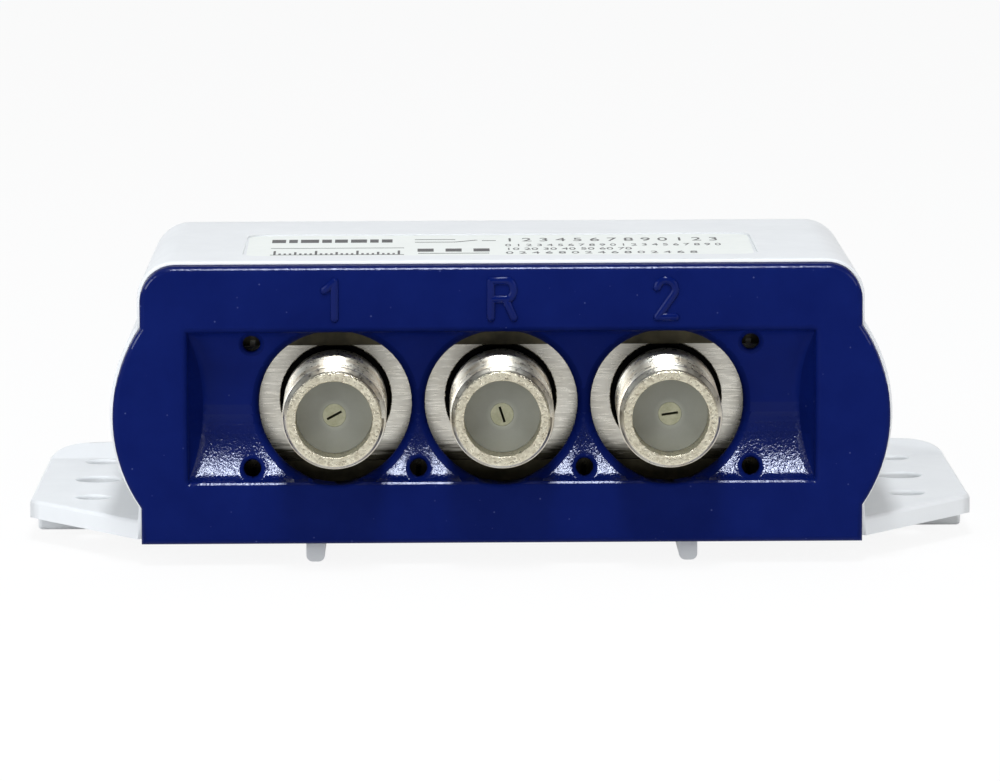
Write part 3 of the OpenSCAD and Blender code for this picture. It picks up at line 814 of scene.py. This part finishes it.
# %% Soften and draft the sleeve
EDGE_ROUND = 0.35 * MM
HOLE_ROUND = 0.25 * MM
EAR_FROM = 36.2 * MM
HOLE_REACH = 2.5 * MM
EAR_MIDDLE_Z = 3.6 * MM
FOOT_TOP_Z = 1.9 * MM
DRAFT = 0.7 * MM
EAR_ROOT = (33.5 * MM, 35.5 * MM)
EAR_HEIGHT = (6 * MM, 8 * MM)

screws = next(mount for mount in frame["record"]["mounts"] if mount["name"] == "ear_screws")
screw_x, screw_y = (screws["dims"][f"spacing_{axis}_mm"] / 2 * MM for axis in "xy")
ear_holes = [(screw_x, screws["pos_m"][1] + row * screw_y) for row in (-1, 0, 1)]


def at_mouth(point):
    return abs(point.y - mouth_y) < NEAR * MM


def at_ear_hole(point):
    return any(math.hypot(abs(point.x) - x, point.y - y) < HOLE_REACH for x, y in ear_holes)


def on_ear_rim(point):
    return point.z > EAR_MIDDLE_Z and abs(point.x) > EAR_FROM and not at_ear_hole(point)


def on_ear_hole(point):
    return point.z > EAR_MIDDLE_Z and at_ear_hole(point)


def on_foot(point):
    return point.z < FOOT_TOP_Z and abs(point.x) > EAR_FROM


def draft_at(point):
    """How far the draft draws a point in."""
    share = max(1 - between(abs(point.x), EAR_ROOT), between(point.z, EAR_HEIGHT))
    share *= between(point.y, (mouth_y, sleeve_high.y)) * between(abs(point.x), (0, EAR_ROOT[0]))
    return DRAFT * share


sleeve_bm = merged_copy("outer_sleeve")
rims = 0
for width, choose in (
    (EDGE_ROUND, at_mouth), (EDGE_ROUND, on_ear_rim), (HOLE_ROUND, on_ear_hole), (EDGE_ROUND, on_foot),
):
    rims += soften(sleeve_bm, width, choose)
for vert in sleeve_bm.verts:
    vert.co.x -= math.copysign(draft_at(vert.co), vert.co.x)
make_piece("sleeve_moulding", sleeve_bm, [white_plastic], "sleeve", ["outer_sleeve"])
print(rims, "edges rounded, sides drawn in by", DRAFT / MM, "mm")

# %% [markdown]
# ### The shield's front panel
# Round each socket the tinned panel turns inwards as a drawn collar. Drawing leaves a rounded lip, a little
# narrower than the collar, which shows as a bright thin line. So the edge of each hole in a copy of the panel
# is drawn in and gets a bevel. The collar behind it is painted near-black, as the shade inside the hole.

# %% Round the lips of the panel's holes
LIP_R = 5.08 * MM
LIP_ROUND = 0.15 * MM
LIP_REACH = 0.2 * MM
COLLAR_FROM = LIP_ROUND * 0.7
DARK_COLLAR, BRIGHT_LIP = 1, 2
shoulder_r = (shell_high.x - shell_low.x) / 2


def nearest_axis(point):
    """The nearest socket axis at a point's depth."""
    x = min(port_x.values(), key=lambda x: abs(point.x - x))
    return Vector((x, point.y, axis_z))


def near_hole(point):
    return (point - nearest_axis(point)).length < shoulder_r + LIP_REACH


def on_lip(point):
    return abs(point.y - panel_y) < NEAR * MM and near_hole(point)


def on_collar(point):
    return point.y > panel_y + COLLAR_FROM and near_hole(point)


panel_bm = merged_copy("shield_frame")
for vert in panel_bm.verts:
    if on_lip(vert.co):
        axis = nearest_axis(vert.co)
        vert.co = axis + (vert.co - axis).normalized() * LIP_R
rims = soften(panel_bm, LIP_ROUND, on_lip, segments=4, material=BRIGHT_LIP)
# The collar's faces get the near-black painted shade.
for face in panel_bm.faces:
    if all(on_collar(vert.co) for vert in face.verts):
        face.material_index = DARK_COLLAR
panel_finishes = [FINISHES[name] for name in ("tinned_sheet", "painted_recess_black", "cut_nickel")]
make_piece("shield_box", panel_bm, panel_finishes, "carrier", ["shield_frame"])
print(rims, "edges rounded")

# %% [markdown]
# ### The sockets
# Each socket is a turned barrel with a fine thread, 32 turns to the inch. A spin turns a profile into the
# barrel. The thread is a second spin that climbs one pitch per turn, so it is a true helix. Its crests are
# then pressed under the cone of the tapered front edge, as the lathe would cut them. The rim and the bore
# show the cut metal, and the neck behind the thread is painted near-black, as the shade round the barrel.

# %% Turn the barrels and wind their threads
THREAD_PITCH = 25.4 / 32 * MM
THREAD_R = 4.7625 * MM
ROOT_R = 4.36 * MM
RIDGE_BASE, RIDGE_CREST = THREAD_PITCH * 0.92, THREAD_PITCH * 0.18
RIDGE_SUNK = 0.05 * MM
RIM_R = 4.33 * MM
BORE_R = 3.5 * MM
NECK_R = 4.5 * MM
LEAD_IN = 1.7 * MM
NECK_L = 3.0 * MM
SHOULDER_T = 1.2 * MM
RIM_EDGE = 0.14 * MM
BORE_EDGE = 0.05 * MM
TURN_STEPS = 72
THREAD_MERGE = 0.0005 * MM
DARK_NECK, CUT_FRONT = 1, 2
shoulder_y = shell_high.y - SHOULDER_T
thread_stop = shoulder_y - NECK_L


def spin_profile(bm, profile, x):
    """Turns a closed profile of (radius, y) points about a socket's axis."""
    ring = [bm.verts.new((x + radius, y, axis_z)) for radius, y in profile]
    edges = [bm.edges.new(pair) for pair in zip(ring, ring[1:] + ring[:1])]
    bmesh.ops.spin(
        bm, geom=ring + edges, cent=(x, 0, axis_z), axis=(0, 1, 0),
        angle=math.tau, steps=TURN_STEPS, use_merge=True,
    )


def wind_thread(bm, x):
    """Winds the thread's ridge from just behind the front edge to the end of the thread."""
    half_base, half_crest = RIDGE_BASE / 2, RIDGE_CREST / 2
    sunk = ROOT_R - RIDGE_SUNK
    start = front_y + THREAD_PITCH
    steps = int((thread_stop - start - half_base) / THREAD_PITCH * TURN_STEPS)
    ridge = [(sunk, -half_base), (THREAD_R, -half_crest), (THREAD_R, half_crest), (sunk, half_base)]
    face = bm.faces.new([bm.verts.new((x + radius, start + y, axis_z)) for radius, y in ridge])
    bmesh.ops.spin(
        bm, geom=[face, *face.edges, *face.verts], cent=(x, 0, axis_z), axis=(0, 1, 0),
        dvec=(0, THREAD_PITCH / TURN_STEPS, 0), angle=math.tau * steps / TURN_STEPS, steps=steps,
    )


def taper_thread(bm, x):
    """Presses the crests under the cone of the front edge."""
    for vert in bm.verts:
        radius = math.hypot(vert.co.x - x, vert.co.z - axis_z)
        cone = RIM_R + (THREAD_R - RIM_R) * between(vert.co.y, (front_y, front_y + LEAD_IN))
        shrink = min(1.0, cone / radius)
        vert.co.x = x + (vert.co.x - x) * shrink
        vert.co.z = axis_z + (vert.co.z - axis_z) * shrink


def make_barrel(port):
    """One socket's barrel, with its thread and its finishes."""
    x = port_x[port]
    barrel = bmesh.new()
    wind_thread(barrel, x)
    taper_thread(barrel, x)
    spin_profile(barrel, [
        (BORE_R, shell_high.y), (BORE_R, front_y + BORE_EDGE), (BORE_R + BORE_EDGE, front_y),
        (RIM_R - RIM_EDGE, front_y), (RIM_R, front_y + RIM_EDGE), (ROOT_R, front_y + LEAD_IN),
        (ROOT_R, thread_stop), (NECK_R, thread_stop), (NECK_R, shoulder_y), (shoulder_r, shoulder_y),
        (shoulder_r, shell_high.y),
    ], x)
    bmesh.ops.remove_doubles(barrel, verts=barrel.verts, dist=THREAD_MERGE)
    bmesh.ops.recalc_face_normals(barrel, faces=barrel.faces)
    for face in barrel.faces:
        middle = face.calc_center_median()
        on_bore = math.hypot(middle.x - x, middle.z - axis_z) < BORE_R + NEAR * MM
        # The neck behind the thread gets the near-black painted shade.
        if all(vert.co.y > thread_stop - NEAR * MM for vert in face.verts):
            face.material_index = DARK_NECK
        elif on_bore or middle.y < front_y + RIM_EDGE:
            face.material_index = CUT_FRONT
    finishes = [FINISHES[name] for name in ("nickel", "painted_recess_black", "cut_nickel")]
    make_piece(f"socket_{port}_barrel", barrel, finishes, "carrier", [f"socket_{port}_shell"])


for port in PORTS:
    make_barrel(port)

# %% [markdown]
# ### The raised marks
# Above each socket stands a mark in the plastic itself: 1, R for the receiver, and 2. In the mould they are
# grooves cut with a round tool, so on the part they are half-round ridges with domed ends. A curve with a
# round section makes each stroke. The curve becomes a mesh, is flattened, and sinks half into the face.

# %% Draw the strokes of the marks, in millimetres
MARK_H = 4.17
MARK_RISE = 10.1
STROKE_R = 0.38
RAISED = 0.28
MARK_SHIFT = {"1": -0.1, "r": 0.1, "2": -0.2}
DOME_TILTS = (85, 60, 30)
CAP_MERGE = STROKE_R / 1000


def arc(middle, size, start, stop, steps=12):
    """Points along a part of an ellipse, from one angle to another in degrees."""
    turns = [math.radians(start + (stop - start) * step / steps) for step in range(steps + 1)]
    return [(middle[0] + size[0] * math.cos(turn), middle[1] + size[1] * math.sin(turn)) for turn in turns]


TOP = MARK_H / 2 - STROKE_R
BOWL = (0.62, TOP / 2 + 0.02)
MARK_STROKES = {
    "1": [[(0.12, -TOP), (0.12, TOP)], [(0.12, TOP), (-0.8, TOP - 0.8)]],
    "r": [
        [(-1.05, -TOP), (-1.05, TOP)],
        [(-1.05, TOP), *arc((0.4, BOWL[1]), BOWL, 90, -90), (-1.05, BOWL[1] * 2 - TOP)],
        [(0.3, 0.0), (1.05, -TOP)],
    ],
    "2": [[*arc((0, TOP - 0.84), (0.84, 0.84), 170, -35), (-0.8, -TOP)], [(-0.8, -TOP), (0.86, -TOP)]],
}


def add_stroke(curve, places):
    """A line of points with a dome at each end, as one spline."""
    places = [Vector((*place, 0)) for place in places]
    ends = []
    for end, before in ((places[0], places[1]), (places[-1], places[-2])):
        out = (end - before).normalized() * STROKE_R
        tilts = [math.radians(tilt) for tilt in DOME_TILTS]
        ends.append([(end + out * math.sin(tilt), math.cos(tilt)) for tilt in tilts])
    rows = ends[0] + [(place, 1.0) for place in places] + ends[1][::-1]
    spline = curve.splines.new("POLY")
    spline.points.add(len(rows) - 1)
    for point, (place, width) in zip(spline.points, rows):
        point.co = (*place, 1)
        point.radius = width


def as_mesh(data):
    """The mesh of a curve or text, through an object that is then removed."""
    holder = bpy.data.objects.new(data.name, data)
    scene.collection.objects.link(holder)
    mesh = bpy.data.meshes.new_from_object(holder.evaluated_get(bpy.context.evaluated_depsgraph_get()))
    bpy.data.objects.remove(holder)
    return mesh


def stroke_mesh(places):
    """The closed mesh of one stroke, with its caps joined on."""
    curve = bpy.data.curves.new("stroke", "CURVE")
    curve.dimensions = "3D"
    curve.bevel_depth = STROKE_R
    curve.bevel_resolution = 4
    curve.use_fill_caps = True
    add_stroke(curve, places)
    mesh = as_mesh(curve)
    stroke = bmesh.new()
    stroke.from_mesh(mesh)
    bmesh.ops.remove_doubles(stroke, verts=stroke.verts, dist=CAP_MERGE)
    bmesh.ops.recalc_face_normals(stroke, faces=stroke.faces)
    stroke.to_mesh(mesh)
    stroke.free()
    return mesh


def make_mark(port):
    """The mark over one socket, stood up on the face and flattened."""
    mark = bmesh.new()
    for places in MARK_STROKES[port]:
        mark.from_mesh(stroke_mesh(places))
    stand = Matrix(((1, 0, 0, 0), (0, 0, -RAISED / STROKE_R, 0), (0, 1, 0, 0), (0, 0, 0, 1)))
    place = Vector((port_x[port] + MARK_SHIFT[port] * MM, face_y, axis_z + MARK_RISE * MM))
    placed = Matrix.Translation(place) @ Matrix.Scale(MM, 4) @ stand
    bmesh.ops.transform(mark, matrix=placed, verts=mark.verts)
    make_piece(f"raised_mark_{port}", mark, [blue_mark], "carrier")


for port in PORTS:
    make_mark(port)

# %% [markdown]
# ### The label's print
# The label carries a plain design of its own: a bold bar with breaks, a ruled scale with ticks, the circuit
# of a two-way switch over three squares, and four lines of plain numbers. Lines are thin boxes, and the
# numbers are text that becomes a mesh. All of it is one very thin piece of ink on the film. Places are in
# millimetres from the label's front left corner, so the design reads like a drawing.

# %% Helpers for the print
INK_T = 0.01
label_low, label_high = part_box("label")
label_corner = Vector((label_low.x, label_low.y, label_high.z)) / MM
print_bm = bmesh.new()


def on_label(x, y):
    """The matrix that moves ink to a place on the label."""
    return Matrix.Translation(label_corner + Vector((x, y, 0)))


def print_bar(x, y, width, length, turn=0.0):
    """A bar of ink, centred on a place."""
    turned = Matrix.Rotation(math.radians(turn), 4, "Z")
    size = Matrix.Diagonal((width, length, INK_T * 2, 1))
    bmesh.ops.create_cube(print_bm, size=1, matrix=on_label(x, y) @ turned @ size)


def print_line(start, stop, width):
    """A line of ink from one place to another."""
    along = Vector(stop) - Vector(start)
    middle = (Vector(start) + Vector(stop)) / 2
    print_bar(*middle, along.length, width, math.degrees(math.atan2(along.y, along.x)))


def print_numbers(words, x, y, height, length):
    """A row of numbers, drawn out to a length."""
    data = bpy.data.curves.new("numbers", "FONT")
    data.body = words
    data.extrude = INK_T
    mesh = as_mesh(data)
    row = bmesh.new()
    row.from_mesh(mesh)
    wide = max(vert.co.x for vert in row.verts)
    tall = max(vert.co.y for vert in row.verts)
    size = Matrix.Diagonal((length / wide, height / tall, 1, 1))
    bmesh.ops.transform(row, matrix=on_label(x, y) @ size, verts=row.verts)
    row.to_mesh(mesh)
    row.free()
    print_bm.from_mesh(mesh)


print("label", [round(side / MM, 1) for side in label_high - label_low], "mm")

# %% [markdown]
# With these three helpers the design is a list of places and sizes. The bar's breaks and the scale's ticks
# come from loops: every fourth tick is longer, and every eighth longer still.

# %% Print the bar, the scale, the circuit and the numbers
PRINT_LEFT = 2.2
BAR_Y, BAR_L, BAR_BREAK = 12.4, 2.6, 0.3
BAR_WIDTHS = (1.3, 0.8, 1.7, 0.9, 1.2, 1.5, 0.8, 1.0)
SCALE_LOW, SCALE_HIGH, SCALE_RIGHT, SCALE_LINE = 1.2, 6.6, 14.6, 0.3
TICKS, TICK_LEFT, TICK_STEP, TICK_W = 25, 2.6, 0.48, 0.22
TICK_LENGTHS = ((8, 3.2), (4, 2.2), (1, 1.2))
CIRCUIT_LINE = 0.35
CIRCUIT = (
    ((15.6, 13.4), (19.4, 13.4)), ((15.6, 11.2), (19.4, 11.2)), ((19.4, 11.2), (21.4, 12.8)),
    ((21.9, 12.3), (23.2, 12.3)), ((15.9, 2.0), (22.5, 2.0)),
)
SQUARE_X, SQUARE_Y, SQUARE_W, SQUARE_L = (16.6, 19.2, 21.8), 4.6, 1.5, 2.4
ROWS_LEFT = 24.0
NUMBER_ROWS = (
    ("1 2 3 4 5 6 7 8 9 0 1 2 3", 11.6, 2.6, 20.0),
    ("0 1 2 3 4 5 6 7 8 9 0 1 2 3 4 5 6 7 8 9 0", 7.6, 1.7, 20.2),
    ("10 20 30 40 50 60 70", 4.5, 1.7, 11.8),
    ("0 2 4 6 8 0 2 4 6 8 0 2 4 6 8", 1.4, 1.7, 17.8),
)

bar_left = PRINT_LEFT
for width in BAR_WIDTHS:
    print_bar(bar_left + width / 2, BAR_Y, width, BAR_L)
    bar_left += width + BAR_BREAK
for y in (SCALE_LOW, SCALE_HIGH):
    print_line((PRINT_LEFT, y), (SCALE_RIGHT, y), SCALE_LINE)
for tick in range(TICKS):
    length = next(length for every, length in TICK_LENGTHS if tick % every == 0)
    print_bar(TICK_LEFT + tick * TICK_STEP, SCALE_LOW + length / 2, TICK_W, length)
for start, stop in CIRCUIT:
    print_line(start, stop, CIRCUIT_LINE)
for x in SQUARE_X:
    print_bar(x, SQUARE_Y, SQUARE_W, SQUARE_L)
for words, y, height, length in NUMBER_ROWS:
    print_numbers(words, ROWS_LEFT, y, height, length)
bmesh.ops.scale(print_bm, vec=(MM, MM, MM), verts=print_bm.verts)
make_piece("label_print", print_bm, [FINISHES["ink"]], "sleeve")

# %% [markdown]
# ## Lamps
# A soft lamp stands high in front, where the pocket's lower half and the flange's upper edge mirror it to the
# camera. A wide lamp lights the front from the left, and a weaker, warmer one fills in from the right. All
# three are rectangles, like a photographer's softboxes, so the shadows have soft edges.

# %% Light the scene
COOL = (0.94, 0.965, 1.0)
WARM = (1.0, 0.95, 0.9)


def add_softbox(name, place, size, power, colour):
    """A rectangular lamp that looks from its place at the object."""
    lamp = bpy.data.lights.new(name, "AREA")
    lamp.shape = "RECTANGLE"
    lamp.size, lamp.size_y = size
    lamp.energy = power
    lamp.color = colour
    holder = bpy.data.objects.new(name, lamp)
    holder.location = place
    holder.rotation_euler = (Vector((0, 0, axis_z)) - Vector(place)).to_track_quat("-Z", "Y").to_euler()
    scene.collection.objects.link(holder)


add_softbox("softbox_above", (0.0, -0.27, 0.50), (0.085, 0.24), 1.9, COOL)
add_softbox("softbox_left", (-0.55, -0.5, 0.22), (0.4, 0.4), 2.05, COOL)
add_softbox("softbox_right", (0.55, -0.5, 0.22), (0.4, 0.4), 0.7, WARM)

# %% [markdown]
# ## Surroundings
# The world round the object answers each kind of ray in its own way, told apart by a Light Path node. The
# camera sees white. Mirrors see a room that is dim in front and has a white backdrop behind the object, with
# a cool glow above it on the left and a warm one on the right: that is what gives the metals their form.
# All other rays get one even light.

# %% Make the world
GLOW_WHITE = ((1, 1, 1), 1.0)
GLOW_ROOM = ((0.95, 0.97, 1.0), 0.05)
GLOW_LEFT = ((0.9, 0.96, 1.0), 0.7)
GLOW_RIGHT = ((0.5, 0.33, 0.2), 0.3)
GLOW_EVEN = ((0.96, 0.98, 1.0), 0.52)
LEFT_TO_RIGHT = (-0.2, 0.3)
BACKDROP_TOP = (0.25, 0.4)
FRONT_TO_BACK = (-0.1, 0.3)


def mix_shaders(tree, shaders, share):
    """Mixes two shaders by a number."""
    mix = add_node(tree, "MixShader")
    for source, socket in zip((share, *shaders), mix.inputs):
        tree.links.new(source, socket)
    return mix.outputs[0]


def seen_in_mirrors(tree):
    """One for rays from mirrors and through glass."""
    path = add_node(tree, "LightPath")
    return computed(tree, "MAXIMUM", path.outputs["Is Glossy Ray"], path.outputs["Is Transmission Ray"])


def seen_by_camera(tree):
    """One for rays that start at the camera."""
    return add_node(tree, "LightPath").outputs["Is Camera Ray"]


def glow_of(tree, colour, strength):
    """A background of one colour."""
    return add_node(tree, "Background", {"Color": (*colour, 1), "Strength": strength}).outputs[0]


def make_world():
    """White for the camera, for mirrors a white backdrop in a dim room, and an even light for the rest."""
    world = bpy.data.worlds.new("studio")
    world.use_nodes = True
    tree = world.node_tree
    glows = (GLOW_WHITE, GLOW_ROOM, GLOW_LEFT, GLOW_RIGHT, GLOW_EVEN)
    white, room, left, right, even = (glow_of(tree, *glow) for glow in glows)
    towards = add_node(tree, "SeparateXYZ")
    tree.links.new(add_node(tree, "TexCoord").outputs["Generated"], towards.inputs["Vector"])
    across, back, up = (towards.outputs[axis] for axis in "XYZ")
    sides = mix_shaders(tree, (left, right), ranged(tree, across, *LEFT_TO_RIGHT, 0, 1))
    backdrop = mix_shaders(tree, (white, sides), ranged(tree, up, *BACKDROP_TOP, 0, 1))
    mirrored = mix_shaders(tree, (room, backdrop), ranged(tree, back, *FRONT_TO_BACK, 0, 1))
    lit = mix_shaders(tree, (even, mirrored), seen_in_mirrors(tree))
    mixed = mix_shaders(tree, (lit, white), seen_by_camera(tree))
    tree.links.new(mixed, tree.nodes["World Output"].inputs["Surface"])
    return world


scene.world = make_world()
print("world:", scene.world.name)

# %% [markdown]
# The floor lies just under the feet. Its own glow shows it as white to the camera and to mirrors, and the
# share of it that is left to plain shading keeps the object's soft shadow.

# %% Make the floor
WHITE_SHARE = 0.9
GROUND_GAP = 0.05 * MM
GROUND_HALF_W = 3.0
GROUND_PALE = (0.9, 0.9, 0.9)
GROUND_DULL = 0.8


def make_floor():
    """A wide pale floor that shows white and keeps a soft shadow."""
    bm = bmesh.new()
    below = Matrix.Translation((0, 0, -GROUND_GAP))
    bmesh.ops.create_grid(bm, x_segments=1, y_segments=1, size=GROUND_HALF_W, matrix=below)
    mesh = bpy.data.meshes.new("floor")
    bm.to_mesh(mesh)
    bm.free()
    finish, tree, shader = new_finish("floor_white")
    shader.inputs["Base Color"].default_value = (*GROUND_PALE, 1)
    shader.inputs["Roughness"].default_value = GROUND_DULL
    shader.inputs["Specular IOR Level"].default_value = 0.0
    glow = add_node(tree, "Emission", {"Color": (1, 1, 1, 1), "Strength": 1.0})
    shown = computed(tree, "MAXIMUM", seen_by_camera(tree), seen_in_mirrors(tree))
    share = computed(tree, "MULTIPLY", shown, WHITE_SHARE)
    mixed = mix_shaders(tree, (shader.outputs[0], glow.outputs[0]), share)
    tree.links.new(mixed, tree.nodes["Material Output"].inputs["Surface"])
    mesh.materials.append(finish)
    floor = bpy.data.objects.new("floor", mesh)
    scene.collection.objects.link(floor)


make_floor()
print("floor", GROUND_HALF_W * 2, "m wide")
